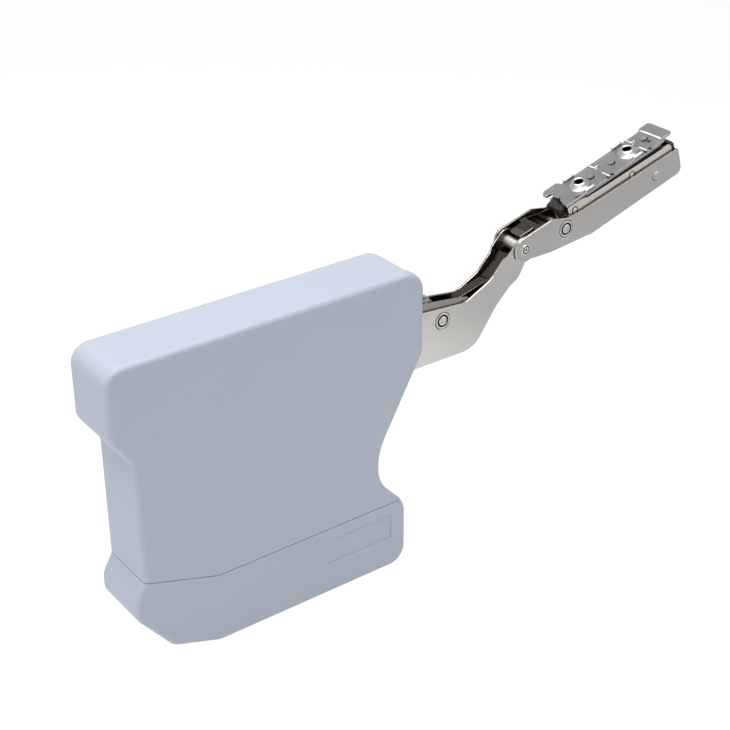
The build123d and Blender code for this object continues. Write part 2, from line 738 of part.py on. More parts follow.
# Clip block: the dark block in the bracket that the door plate rests on.
plate_under = PLATE_TOP - PLATE_SHEET
with BuildPart() as clip_block:
    with BuildSketch(side(ARM_DEPTH - bracket_inner)):
        with BuildLine():
            FilletPolyline(
                at_hinge(BLOCK_START, plate_under),
                at_hinge(BLOCK_END, plate_under),
                at_hinge(BLOCK_END, BRACKET_SHEET - BRACKET_FLOOR),
                at_hinge(BLOCK_START, BRACKET_SHEET - BRACKET_FLOOR),
                radius=[1.5, 1.5, 1.5, 1.5],
                close=True,
            )
        make_face()
    extrude(amount=2 * bracket_inner)

# Door plate: pressed plate with two raised screw cones, a hooked tab, bent-up lugs and an
# upturned tongue at the front.
door_plane = Plane(
    origin=(HINGE[0], -ARM_DEPTH, HINGE[1]),
    x_dir=(cos(radians(DOOR_TILT)), 0, sin(radians(DOOR_TILT))),
    z_dir=(-sin(radians(DOOR_TILT)), 0, cos(radians(DOOR_TILT))),
)
with BuildPart() as door_plate:
    with BuildSketch(door_plane.offset(plate_under)):
        with BuildLine():
            FilletPolyline(
                (PLATE_START + 2.8, -PLATE_HALF),
                (PLATE_END, -PLATE_HALF),
                (PLATE_END, PLATE_HALF),
                (PLATE_START + 11.4, PLATE_HALF),
                (PLATE_START + 10.4, PLATE_HALF + PLATE_TAB),
                (PLATE_START + 2.2, PLATE_HALF + PLATE_TAB),
                (PLATE_START, PLATE_HALF + 0.9),
                (PLATE_START, PLATE_HALF - 1.4),
                (PLATE_START + 3.2, PLATE_HALF - 1.7),
                (PLATE_START + 1.8, -1.0),
                (PLATE_START, -5.4),
                (PLATE_START, -PLATE_HALF),
                radius=[0.0, 0.0, 0.0, 1.0, 1.0, 1.0, 0.8, 0.8, 0.6, 0.0, 0.0, 0.6],
                close=True,
            )
        make_face()
    extrude(amount=PLATE_SHEET)
    with BuildSketch(door_plane.offset(TONGUE_TOP - PLATE_SHEET)):
        with BuildLine():
            FilletPolyline(
                (PLATE_END + RIB_WIDTH, -PLATE_HALF),
                (TONGUE_END, -PLATE_HALF),
                (TONGUE_END, PLATE_HALF),
                (PLATE_END + RIB_WIDTH, PLATE_HALF),
                radius=[0.0, 1.6, 1.6, 0.0],
                close=True,
            )
        make_face()
    extrude(amount=PLATE_SHEET)
    with BuildSketch(side(ARM_DEPTH - PLATE_HALF)):
        with BuildLine():
            Polyline(
                at_hinge(PLATE_END - RIB_WIDTH, plate_under),
                at_hinge(PLATE_END + RIB_WIDTH, plate_under),
                at_hinge(PLATE_END + 2 * RIB_WIDTH, TONGUE_TOP - PLATE_SHEET),
                at_hinge(PLATE_END + 2 * RIB_WIDTH, TONGUE_TOP),
                at_hinge(PLATE_END + RIB_WIDTH / 2, TONGUE_TOP),
                at_hinge(PLATE_END - RIB_WIDTH, PLATE_TOP),
                close=True,
            )
        make_face()
    extrude(amount=2 * PLATE_HALF)
    with BuildSketch(door_plane.offset(plate_under)):
        with Locations(((PLATE_START + PLATE_END) / 2 + 5.5, 0)):
            with Locations((0, PLATE_HALF - FLANGE_SHEET / 2), (0, FLANGE_SHEET / 2 - PLATE_HALF)):
                Rectangle(PLATE_END - PLATE_START - 14.0, FLANGE_SHEET)
    extrude(amount=-FLANGE_DROP)
    for step in range(2):
        along = FIRST_HOLE + step * HOLE_PITCH
        with Locations(door_plane.offset(PLATE_TOP) * Location((along, 0, 0))):
            Cone(CONE_R, CONE_TOP_R, HOLE_TOP - PLATE_TOP, align=(Align.CENTER, Align.CENTER, Align.MIN))
        with Locations(door_plane.offset(HOLE_TOP) * Location((along, 0, 0))):
            Hole(DOOR_HOLE_R, depth=2 * HOLE_TOP)
        with BuildSketch(door_plane.offset(PLATE_TOP)):
            with Locations((along, PLATE_HALF - RIB_WIDTH / 2), (along, RIB_WIDTH - PLATE_HALF)):
                Rectangle(LUG_LENGTH, RIB_WIDTH)
        extrude(amount=LUG_RISE)
    with BuildSketch(door_plane.offset(PLATE_TOP)):
        for along in RIB_PLACES:
            with Locations((along, 0.65 * PLATE_HALF)):
                Rectangle(RIB_WIDTH, 0.7 * PLATE_HALF)
            with Locations((along + RIB_WIDTH, 0.34 * PLATE_HALF)):
                Rectangle(2 * RIB_WIDTH, RIB_WIDTH)
            with Locations((along - RIB_WIDTH, -0.6 * PLATE_HALF)):
                Rectangle(RIB_WIDTH, 0.8 * PLATE_HALF)
    extrude(amount=RIB_RISE)

# Release lever: small dark catch that swings on the rear pin of the bracket.
with BuildPart() as release_lever:
    with BuildSketch(side(ARM_DEPTH - RELEASE_HALF)):
        with BuildLine():
            FilletPolyline(
                at_hinge(25.6, 5.2),
                at_hinge(30.0, 6.0),
                at_hinge(35.6, 5.5),
                at_hinge(36.2, -1.0),
                at_hinge(32.5, -5.2),
                at_hinge(30.6, -4.4),
                at_hinge(29.4, 2.0),
                at_hinge(26.0, 3.0),
                radius=[0.8, 1.2, 1.2, 1.5, 1.0, 1.0, 1.5, 0.5],
                close=True,
            )
        make_face()
        with Locations(release_place):
            Circle(RELEASE_PIN_R + PIN_FIT, mode=Mode.SUBTRACT)
    extrude(amount=2 * RELEASE_HALF)

named = {
    "main_cover": main_cover,
    "lower_cap": lower_cap,
    "back_plate": back_plate,
    "side_plate": side_plate,
    "guide_pin": guide_pin,
    "drive_stub_far": drive_stub_far,
    "drive_stub_near": drive_stub_near,
    "control_pin": control_pin,
    "guide_link": guide_link,
    "main_lever": main_lever,
    "lever_gusset": lever_gusset,
    "gusset_pin": gusset_pin,
    "lever_rivet": lever_rivet,
    "control_link": control_link,
    "door_channel": door_channel,
    "hinge_barrel": hinge_barrel,
    "hinge_rivet": hinge_rivet,
    "link_rivet": link_rivet,
    "clip_bracket": clip_bracket,
    "release_pin": release_pin,
    "clip_block": clip_block,
    "door_plate": door_plate,
    "release_lever": release_lever,
}
for name, piece in named.items():
    piece.part.label = name
for piece in [*named.values(), *drive_plates, *pillars]:
    export_step(piece.part, f"parts/{piece.part.label}.step")
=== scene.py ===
import json

import bmesh
import bpy
import numpy as np
from mathutils import Matrix, Vector


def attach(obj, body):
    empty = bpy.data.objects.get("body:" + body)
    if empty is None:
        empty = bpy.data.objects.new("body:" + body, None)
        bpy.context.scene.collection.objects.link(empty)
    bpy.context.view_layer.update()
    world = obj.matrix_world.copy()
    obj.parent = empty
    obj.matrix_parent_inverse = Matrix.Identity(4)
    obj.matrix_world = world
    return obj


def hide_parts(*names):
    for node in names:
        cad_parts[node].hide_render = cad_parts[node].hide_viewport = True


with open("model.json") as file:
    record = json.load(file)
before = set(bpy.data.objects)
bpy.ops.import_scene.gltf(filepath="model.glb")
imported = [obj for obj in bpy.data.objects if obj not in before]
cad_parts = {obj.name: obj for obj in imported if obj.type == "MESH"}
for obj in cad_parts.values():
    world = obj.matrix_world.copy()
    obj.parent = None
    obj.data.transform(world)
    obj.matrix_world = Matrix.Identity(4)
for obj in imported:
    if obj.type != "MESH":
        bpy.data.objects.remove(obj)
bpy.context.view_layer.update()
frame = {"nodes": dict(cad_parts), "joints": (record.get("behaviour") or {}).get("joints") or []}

# Camera: a long lens from the cabinet's rear, above the housing, where the photograph
# was taken. The housing's near face, left end and top all show.
azimuth = np.radians(-36.32)
elevation = np.radians(28.59)
roll = np.radians(-0.34)
camera_place = (-0.31115, -0.5162, 0.3668)
focal_pixels = 1585.0
picture_pixels = 730.0
sensor_width = 36.0
forward = np.array(
    [-np.sin(azimuth) * np.cos(elevation), np.cos(azimuth) * np.cos(elevation), -np.sin(elevation)]
)
level_right = np.array([np.cos(azimuth), np.sin(azimuth), 0.0])
level_up = np.cross(level_right, forward)
right = np.cos(roll) * level_right + np.sin(roll) * level_up
up = np.cross(right, forward)
camera_data = bpy.data.cameras.new("camera")
camera_data.sensor_width = sensor_width
camera_data.lens = sensor_width * focal_pixels / picture_pixels
camera_data.clip_start = 0.01
camera = bpy.data.objects.new("camera", camera_data)
stand = [[right[axis], up[axis], -forward[axis], camera_place[axis]] for axis in range(3)]
camera.matrix_world = Matrix(stand + [[0.0, 0.0, 0.0, 1.0]])
bpy.context.scene.collection.objects.link(camera)
bpy.context.scene.camera = camera
bpy.context.scene.view_settings.view_transform = "Standard"


# Studio: a pale room of even light. The camera sees it white, and polished metal sees a
# mirrored sky that dims overhead.
def add_node(tree, kind, inputs=None, **settings):
    """One shader node, set up, with each input fed by a value or by another node's output."""
    made = tree.nodes.new(kind)
    for setting, value in settings.items():
        setattr(made, setting, value)
    for socket, value in (inputs or {}).items():
        if isinstance(value, bpy.types.NodeSocket):
            tree.links.new(value, made.inputs[socket])
        else:
            made.inputs[socket].default_value = value
    return made


def ramp(tree, value, start, end, low, high):
    """The value, carried in a straight line from between start and end to between low and high."""
    ends = {"Value": value, "From Min": start, "From Max": end, "To Min": low, "To Max": high}
    return add_node(tree, "ShaderNodeMapRange", ends).outputs[0]


def choose(tree, share, first, second):
    """The first shader where the share is 0 and the second where it is 1."""
    return add_node(tree, "ShaderNodeMixShader", {0: share, 1: first, 2: second}).outputs[0]


sky_at_horizon = 0.8
sky_overhead = 0.42
sky_top = 0.9
room_light = 0.38
world = bpy.data.worlds.new("studio")
bpy.context.scene.world = world
world.use_nodes = True
room = world.node_tree
room.nodes.clear()
ray = add_node(room, "ShaderNodeLightPath").outputs
heading = add_node(room, "ShaderNodeTexCoord").outputs["Generated"]
height = add_node(room, "ShaderNodeSeparateXYZ", {0: heading}).outputs["Z"]
sky_level = ramp(room, height, 0.0, sky_top, sky_at_horizon, sky_overhead)
plain, mirrored, white = [
    add_node(room, "ShaderNodeBackground", {"Color": (*tint, 1.0), "Strength": strength}).outputs[0]
    for tint, strength in (
        ((0.93, 0.96, 1.0), room_light),
        ((1.0, 0.99, 0.98), sky_level),
        ((1.0, 1.0, 1.0), 1.0),
    )
]
for_metal = choose(room, ray["Is Glossy Ray"], plain, mirrored)
for_camera = choose(room, ray["Is Camera Ray"], for_metal, white)
add_node(room, "ShaderNodeOutputWorld", {"Surface": for_camera})

# Floor: a wide pale sheet below the housing, whose reflected light falls off under the
# door end of the arm. It keeps a faint shadow of the part.
floor_half = 3.0
floor_level = -0.09
floor_grey = 0.9
glow_near = 1.1
glow_far = 0.68
glow_near_x = 0.225
glow_far_x = 0.29
glow_share = 0.9
floor_mesh = bpy.data.meshes.new("floor")
floor_turns = [(-1, -1), (1, -1), (1, 1), (-1, 1)]
floor_corners = [(x * floor_half, y * floor_half, floor_level) for x, y in floor_turns]
floor_mesh.from_pydata(floor_corners, [], [(0, 1, 2, 3)])
floor = bpy.data.objects.new("floor", floor_mesh)
bpy.context.scene.collection.objects.link(floor)
floor_paint = bpy.data.materials.new("floor")
floor_paint.use_nodes = True
paint = floor_paint.node_tree
floor_shader = paint.nodes["Principled BSDF"]
floor_shader.inputs["Base Color"].default_value = (floor_grey, floor_grey, floor_grey, 1.0)
floor_shader.inputs["Roughness"].default_value = 0.9
ray = add_node(paint, "ShaderNodeLightPath").outputs
floor_place = add_node(paint, "ShaderNodeTexCoord").outputs["Object"]
reach = add_node(paint, "ShaderNodeSeparateXYZ", {0: floor_place}).outputs["X"]
falloff = ramp(paint, reach, glow_near_x, glow_far_x, glow_near, glow_far)


def calculate(tree, operation, first, second):
    """Sum, product, difference or larger one of two values."""
    return add_node(tree, "ShaderNodeMath", {0: first, 1: second}, operation=operation).outputs[0]


level = calculate(paint, "MAXIMUM", falloff, ray["Is Camera Ray"])
glow = add_node(paint, "ShaderNodeEmission", {"Color": (1.0, 1.0, 1.0, 1.0), "Strength": level})
seen = calculate(paint, "MAXIMUM", ray["Is Camera Ray"], ray["Is Glossy Ray"])
share = calculate(paint, "MULTIPLY", seen, glow_share)
sheet = choose(paint, share, floor_shader.outputs[0], glow.outputs[0])
paint.links.new(sheet, paint.nodes["Material Output"].inputs["Surface"])
floor_mesh.materials.append(floor_paint)


# Lamps: three soft squares, above the part, at its left and at its front, at a plain level
# that keeps the pale cover below white.
def softbox(name, place, side, power):
    """A flat square lamp at the place, which shines at the housing."""
    data = bpy.data.lights.new(name, "AREA")
    data.shape = "RECTANGLE"
    data.size = side
    data.size_y = side
    data.energy = power
    lamp = bpy.data.objects.new(name, data)
    lamp.location = place
    lamp.rotation_euler = (-Vector(place)).to_track_quat("-Z", "Y").to_euler()
    bpy.context.scene.collection.objects.link(lamp)


softbox("lamp_top", (-0.1, 0.0, 1.2), side=1.2, power=25.0)
softbox("lamp_left", (-1.3, -0.1, 0.35), side=0.9, power=4.0)
softbox("lamp_front", (0.45, -0.45, 0.15), side=0.4, power=0.4)


# Housing cover: main cover and lower cap, moulded in pale blue-grey plastic with a fine
# spark-eroded grain, a faint cloudiness from the mould and edges rubbed a little paler.
def effect(name, inputs, outputs):
    """Empty node group. An input is a name, type and value, and an output a name and type."""
    group = bpy.data.node_groups.new(name, "ShaderNodeTree")
    for label, kind, value in inputs:
        socket = group.interface.new_socket(label, in_out="INPUT", socket_type="NodeSocket" + kind)
        socket.default_value = value
    for label, kind in outputs:
        group.interface.new_socket(label, in_out="OUTPUT", socket_type="NodeSocket" + kind)
    source = group.nodes.new("NodeGroupInput")
    result = group.nodes.new("NodeGroupOutput")
    return group, source.outputs, result.inputs


def sum_of(tree, *terms):
    """Chain of additions."""
    total = terms[0]
    for term in terms[1:]:
        total = calculate(tree, "ADD", total, term)
    return total


def swing(tree, value, amount):
    """A mask from 0 to 1 turned into a change from minus half to plus half the amount."""
    return calculate(tree, "MULTIPLY", calculate(tree, "SUBTRACT", value, 0.5), amount)


def noise(tree, place, scale, detail=2.0):
    """Cloudy mask at the given scale."""
    inputs = {"Vector": place, "Scale": scale, "Detail": detail}
    return add_node(tree, "ShaderNodeTexNoise", inputs).outputs["Fac"]


def mix_colour(tree, share, first, second):
    """The first colour where the share is 0 and the second where it is 1."""
    colours = {0: share, 6: first, 7: second}
    return add_node(tree, "ShaderNodeMix", colours, data_type="RGBA").outputs[2]


tone, given, result = effect(
    "tone_and_grain",
    [
        ("Vector", "Vector", (0.0, 0.0, 0.0)),
        ("Colour", "Color", (0.5, 0.5, 0.5, 1.0)),
        ("Roughness", "Float", 0.4),
        ("Cloud Scale", "Float", 30.0),
        ("Cloud Amount", "Float", 0.1),
        ("Grain Scale", "Float", 3000.0),
        ("Grain Amount", "Float", 0.1),
    ],
    [("Colour", "Color"), ("Roughness", "Float"), ("Grain", "Float")],
)
cloud = noise(tone, given["Vector"], given["Cloud Scale"], detail=3.0)
grain = noise(tone, given["Vector"], given["Grain Scale"])
cloud_swing = swing(tone, cloud, given["Cloud Amount"])
grain_swing = swing(tone, grain, given["Grain Amount"])
level = sum_of(tone, cloud_swing, 1.0)
scaled = {0: given["Colour"], "Scale": level}
shade = add_node(tone, "ShaderNodeVectorMath", scaled, operation="SCALE").outputs[0]
tone.links.new(shade, result["Colour"])
tone.links.new(sum_of(tone, given["Roughness"], cloud_swing, grain_swing), result["Roughness"])
tone.links.new(grain, result["Grain"])

# Edge mask. On moulded plastic it marks real rubbed wear; on plated steel it carries a painted
# highlight along the rounded edges, and on the bump caps a painted shade.
wear_and_highlight_group, given, result = effect(
    "edge_wear_and_highlight",
    [
        ("Vector", "Vector", (0.0, 0.0, 0.0)),
        ("Radius", "Float", 0.0004),
        ("Breakup Scale", "Float", 400.0),
    ],
    [("Mask", "Float")],
)
rounded = add_node(wear_and_highlight_group, "ShaderNodeBevel", {"Radius": given["Radius"]}, samples=6).outputs[0]
facing = add_node(wear_and_highlight_group, "ShaderNodeNewGeometry").outputs["Normal"]
same = add_node(wear_and_highlight_group, "ShaderNodeVectorMath", {0: rounded, 1: facing}, operation="DOT_PRODUCT")
flat_cosine = 0.99
edge_cosine = 0.8
edge = ramp(wear_and_highlight_group, same.outputs["Value"], flat_cosine, edge_cosine, 0.0, 1.0)
patches = noise(wear_and_highlight_group, given["Vector"], given["Breakup Scale"])
worn = ramp(wear_and_highlight_group, patches, 0.3, 0.6, 0.75, 1.0)
worn_and_lit_edge = calculate(wear_and_highlight_group, "MULTIPLY", edge, worn)
wear_and_highlight_group.links.new(worn_and_lit_edge, result["Mask"])


def fill_in(node, values):
    """Give a node's inputs their values by name."""
    for socket, value in values.items():
        node.inputs[socket].default_value = value


def moulded(name, colour, worn_colour, roughness, cloud, bump, gloss=0.4):
    """Moulded plastic: eroded grain in bump and roughness, cloudy colour, rubbed edges."""
    material = bpy.data.materials.new(name)
    material.use_nodes = True
    tree = material.node_tree
    shader = tree.nodes["Principled BSDF"]
    shader.inputs["Specular IOR Level"].default_value = gloss
    place = add_node(tree, "ShaderNodeTexCoord").outputs["Object"]
    varied = add_node(tree, "ShaderNodeGroup", node_tree=tone)
    tree.links.new(place, varied.inputs["Vector"])
    settings = {
        "Colour": (*colour, 1.0),
        "Roughness": roughness,
        "Cloud Scale": 22.0,
        "Cloud Amount": cloud,
        "Grain Scale": 2600.0,
        "Grain Amount": 0.16,
    }
    fill_in(varied, settings)
    rubbed_and_lit_edges = add_node(tree, "ShaderNodeGroup", node_tree=wear_and_highlight_group)
    tree.links.new(place, rubbed_and_lit_edges.inputs["Vector"])
    fill_in(rubbed_and_lit_edges, {"Radius": 0.0006})
    mixed = mix_colour(tree, rubbed_and_lit_edges.outputs["Mask"], varied.outputs["Colour"], (*worn_colour, 1.0))
    tree.links.new(mixed, shader.inputs["Base Color"])
    tree.links.new(varied.outputs["Roughness"], shader.inputs["Roughness"])
    relief = {"Height": varied.outputs["Grain"], "Strength": bump, "Distance": 0.00008}
    tree.links.new(add_node(tree, "ShaderNodeBump", relief).outputs[0], shader.inputs["Normal"])
    return material


def paint_node(name, material):
    """The CAD piece takes this finish."""
    node = frame["nodes"][name]
    node.data.materials.clear()
    node.data.materials.append(material)


cover_plastic = moulded(
    "cover_plastic",
    colour=(0.352, 0.382, 0.446),
    worn_colour=(0.4, 0.43, 0.495),
    roughness=0.5,
    cloud=0.05,
    bump=0.35,
)
paint_node("main_cover", cover_plastic)
paint_node("lower_cap", cover_plastic)


# Steel frame in the housing: two zinc plated plates held apart by hexagon spacers, with
# the turned pins that the links swing on. The zinc shows a faint bluish cloud.
# Painted shade: faces turned inwards, towards the middle of a piece, take a darker colour, as shade
# between its walls.
inside_shade, given, result = effect("painted_shade_between_walls", [("Middle", "Float", -0.015)], [("Mask", "Float")])
inside_normal = add_node(inside_shade, "ShaderNodeNewGeometry").outputs["Normal"]
inside_place = add_node(inside_shade, "ShaderNodeTexCoord").outputs["Object"]
turned_to = add_node(inside_shade, "ShaderNodeSeparateXYZ", {0: inside_normal}).outputs["Y"]
across = add_node(inside_shade, "ShaderNodeSeparateXYZ", {0: inside_place}).outputs["Y"]
off_middle = calculate(inside_shade, "SUBTRACT", across, given["Middle"])
inwards = calculate(inside_shade, "MULTIPLY", off_middle, turned_to)
shade_from = -0.001
shade_fully = -0.0035
inner = ramp(inside_shade, inwards, shade_from, shade_fully, 0.0, 1.0)
inside_shade.links.new(inner, result["Mask"])


def plated(name, colour, inside_shade_colour, painted_edge_colour, roughness, cloud, stretch, turn=0.0):
    """Plated steel: grain drawn out along the sheet, cloudy tone, painted shade inside and a painted
    colour on its edges.
    """
    material = bpy.data.materials.new(name)
    material.use_nodes = True
    tree = material.node_tree
    shader = tree.nodes["Principled BSDF"]
    shader.inputs["Metallic"].default_value = 1.0
    place = add_node(tree, "ShaderNodeTexCoord").outputs["Object"]
    drawn_out = {"Vector": place, "Rotation": (0.0, turn, 0.0), "Scale": (1.0 / stretch, 1.0, 1.0)}
    rolled = add_node(tree, "ShaderNodeMapping", drawn_out).outputs[0]
    varied = add_node(tree, "ShaderNodeGroup", node_tree=tone)
    tree.links.new(rolled, varied.inputs["Vector"])
    settings = {
        "Colour": (*colour, 1.0),
        "Roughness": roughness,
        "Cloud Scale": 38.0,
        "Cloud Amount": cloud,
        "Grain Scale": 3800.0,
        "Grain Amount": 0.08,
    }
    fill_in(varied, settings)
    inside_shade_mask = add_node(tree, "ShaderNodeGroup", node_tree=inside_shade).outputs["Mask"]
    rubbed_and_lit_edges = add_node(tree, "ShaderNodeGroup", node_tree=wear_and_highlight_group)
    tree.links.new(place, rubbed_and_lit_edges.inputs["Vector"])
    fill_in(rubbed_and_lit_edges, {"Radius": 0.00035})
    inside_shaded = mix_colour(tree, inside_shade_mask, varied.outputs["Colour"], (*inside_shade_colour, 1.0))
    # The edge colour is a painted highlight on most pieces and a painted shade on the bump caps.
    edges_painted = mix_colour(tree, rubbed_and_lit_edges.outputs["Mask"], inside_shaded, (*painted_edge_colour, 1.0))
    tree.links.new(edges_painted, shader.inputs["Base Color"])
    tree.links.new(varied.outputs["Roughness"], shader.inputs["Roughness"])
    relief = {"Height": varied.outputs["Grain"], "Strength": 0.12, "Distance": 0.00002}
    tree.links.new(add_node(tree, "ShaderNodeBump", relief).outputs[0], shader.inputs["Normal"])
    return material


zinc = plated(
    "zinc",
    colour=(0.6, 0.62, 0.65),
    inside_shade_colour=(0.5, 0.52, 0.55),
    painted_edge_colour=(0.75, 0.76, 0.78),
    roughness=0.34,
    cloud=0.3,
    stretch=1.0,
)
turned_steel = plated(
    "turned_steel",
    colour=(0.78, 0.77, 0.75),
    inside_shade_colour=(0.6, 0.59, 0.58),
    painted_edge_colour=(0.85, 0.85, 0.84),
    roughness=0.16,
    cloud=0.12,
    stretch=1.0,
)
paint_node("back_plate", zinc)
paint_node("side_plate", zinc)
pivots = ["guide_pin", "drive_stub_far", "drive_stub_near", "control_pin", "gusset_pin", "release_pin"]
spacers = [f"frame_pillar_{number}" for number in range(1, 6)]
for name in pivots + spacers:
    paint_node(name, turned_steel)

# Crank links: two drive plates and the thick guide link, blanked from nickel plated
# strip, which carry the lever out of the housing. The lever's gusset is like them.
nickel = plated(
    "nickel",
    colour=(0.56, 0.545, 0.53),
    inside_shade_colour=(0.13, 0.105, 0.085),
    painted_edge_colour=(0.86, 0.85, 0.84),
    roughness=0.2,
    cloud=0.22,
    stretch=6.0,
)
link_nickel = plated(
    "link_nickel",
    colour=(0.3, 0.285, 0.27),
    inside_shade_colour=(0.1, 0.08, 0.065),
    painted_edge_colour=(0.86, 0.85, 0.84),
    roughness=0.24,
    cloud=0.3,
    stretch=6.0,
)
for name in ("guide_link", "lever_gusset"):
    paint_node(name, link_nickel)


# Main lever: pressed U-section with an S-curve, joggled at its tip to pass outside the
# barrel. Its blanked edges are rounded by tumbling before the nickel goes on.
def tumbled(name, body, material, width):
    """Copy of a sheet piece: welded, its flat faces joined, its sharp edges rounded."""
    shape = bmesh.new()
    shape.from_mesh(frame["nodes"][name].data)
    bmesh.ops.remove_doubles(shape, verts=shape.verts, dist=1e-6)
    flat = np.radians(0.6)
    bmesh.ops.dissolve_limit(shape, angle_limit=flat, verts=shape.verts, edges=shape.edges)
    mesh = bpy.data.meshes.new(name + "_tumbled")
    shape.to_mesh(mesh)
    shape.free()
    mesh.materials.append(material)
    piece = bpy.data.objects.new(name + "_tumbled", mesh)
    bpy.context.scene.collection.objects.link(piece)
    edges = piece.modifiers.new("rounded_edges", "BEVEL")
    edges.width = width
    edges.segments = 2
    edges.limit_method = "ANGLE"
    edges.angle_limit = np.radians(40.0)
    edges.use_clamp_overlap = False
    mesh.polygons.foreach_set("use_smooth", np.ones(len(mesh.polygons), bool))
    even = piece.modifiers.new("even_shading", "WEIGHTED_NORMAL")
    even.weight = 100
    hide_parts(name)
    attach(piece, body)
    return piece


tumbled("main_lever", "lever", nickel, width=0.0003)
for name in ("drive_plate_far", "drive_plate_near"):
    tumbled(name, "drive", link_nickel, width=0.00025)

# Control link: pressed strap with a fork and a folded neck, in burnished nickel whose dark
# colour is part its finish and part painted shade, for its place deep between the walls of the lever
# and the channel.
burnished_and_shaded = plated(
    "burnished_and_shaded",
    colour=(0.11, 0.09, 0.072),
    inside_shade_colour=(0.06, 0.05, 0.04),
    painted_edge_colour=(0.75, 0.73, 0.7),
    roughness=0.16,
    cloud=0.4,
    stretch=8.0,
)
tumbled("control_link", "control", burnished_and_shaded, width=0.00015)

# Door channel: the long U-section at the door's end of the arm, pressed from the same
# nickel plated strip, with its edges rounded by tumbling.
door_hinge = next(joint for joint in frame["joints"] if joint["name"] == "door_hinge")
lift_off = next(joint for joint in frame["joints"] if joint["name"] == "plate_lift_off")
hinge = Vector(door_hinge["pos_m"])
door_up = Vector(lift_off["axis"])
door_along = Vector((door_up.z, 0.0, -door_up.x))
door_turn = float(np.arctan2(door_along.z, door_along.x))
door_nickel = plated(
    "door_nickel",
    colour=(0.5, 0.487, 0.475),
    inside_shade_colour=(0.13, 0.105, 0.085),
    painted_edge_colour=(0.86, 0.85, 0.84),
    roughness=0.2,
    cloud=0.2,
    stretch=6.0,
    turn=door_turn,
)
tumbled("door_channel", "channel", door_nickel, width=0.00028)
on_channel = ("channel", "nickel_steel")


def on_door(along, above, across):
    """Point in millimetres along the door channel from the hinge, above its line and across it."""
    return hinge + (door_along * along + door_up * above + Vector((0.0, across, 0.0))) / 1000.0


# Rivets: steel, headed over in a ring-shaped stamping that leaves a groove round a raised
# lip and a flat head. Black rings in the groove and in the moat round it are painted shade.
def turned_shape(name, centre, axis, profile, material, body, slot):
    """Surface of revolution: each radius and height of the profile, in mm, goes round the axis."""
    outline = np.array(profile) / 1000.0
    along = np.array(Vector(axis).normalized())
    first = np.array(Vector(axis).orthogonal().normalized())
    second = np.cross(along, first)
    spokes = 72
    angle = np.linspace(0.0, 2.0 * np.pi, spokes, endpoint=False)
    spoke = np.cos(angle)[:, None] * first + np.sin(angle)[:, None] * second
    points = np.array(centre) + outline[:, None, 1:] * along + outline[:, None, :1] * spoke
    rows, columns = points.shape[:2]
    row, column = np.meshgrid(np.arange(rows), np.arange(columns), indexing="ij")
    here = row * columns + column
    side = row * columns + (column + 1) % columns
    over = (row + 1) % rows * columns + (column + 1) % columns
    behind = (row + 1) % rows * columns + column
    quads = np.stack([here, side, over, behind], axis=-1).reshape(-1, 4)
    shape = bmesh.new()
    mesh = bpy.data.meshes.new(name)
    mesh.from_pydata(points.reshape(-1, 3), [], quads.tolist())
    shape.from_mesh(mesh)
    bmesh.ops.remove_doubles(shape, verts=shape.verts, dist=1e-7)
    bmesh.ops.dissolve_degenerate(shape, edges=shape.edges, dist=1e-7)
    bmesh.ops.recalc_face_normals(shape, faces=shape.faces)
    shape.to_mesh(mesh)
    shape.free()
    mesh.polygons.foreach_set("use_smooth", np.ones(len(mesh.polygons), bool))
    mesh.set_sharp_from_angle(angle=np.radians(50.0))
    mesh.materials.append(material)
    piece = bpy.data.objects.new(name, mesh)
    bpy.context.scene.collection.objects.link(piece)
    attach(piece, body)
    return piece


towards_room = (0.0, -1.0, 0.0)
# Near black, for painted shade in grooves, holes, slits, gaps and cuts.
shadow_black = moulded(
    "shadow_black",
    colour=(0.008, 0.007, 0.006),
    worn_colour=(0.012, 0.011, 0.01),
    roughness=0.6,
    cloud=0.2,
    bump=0.1,
    gloss=0.1,
)
shank = 2.5
ring = 3.95
groove_rim = 3.12
face = 2.2
for name, joint, half, body in (
    ("lever_rivet", "lever_hinge", 5.5, "lever"),
    ("link_rivet", "control_hinge", 8.1, "channel"),
):
    centre = next(entry for entry in frame["joints"] if entry["name"] == joint)["pos_m"]
    head = [
        (0.0, -half),
        (shank, -half),
        (shank, half - 0.3),
        (ring, half - 0.3),
        (ring, half - 0.05),
        (ring - 0.15, half + 0.03),
        (groove_rim + 0.18, half + 0.03),
        (groove_rim, half - 0.05),
        (groove_rim - 0.02, half - 0.22),
        (face, half - 0.22),
        (face, half),
        (face - 0.2, half + 0.12),
        (face - 0.9, half + 0.15),
        (face - 1.3, half + 0.1),
        (0.0, half + 0.08),
    ]
    rivet = turned_shape(name + "_headed", centre, towards_room, head, nickel, body, "bright_pin")
    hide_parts(name)
    # Black rings in the groove and in the moat round the lip: painted shade.
    trenches = {
        "_groove_shade": (face - 0.02, groove_rim + 0.01, half - 0.25, half - 0.07),
        "_moat_shade": (ring - 0.05, ring + 0.44, half - 0.345, half - 0.2),
    }
    for part, (inner, outer, low, high) in trenches.items():
        trench = [(inner, low), (inner, high), (outer, high), (outer, low)]
        turned_shape(name + part, centre, towards_room, trench, shadow_black, body, "nickel_steel")

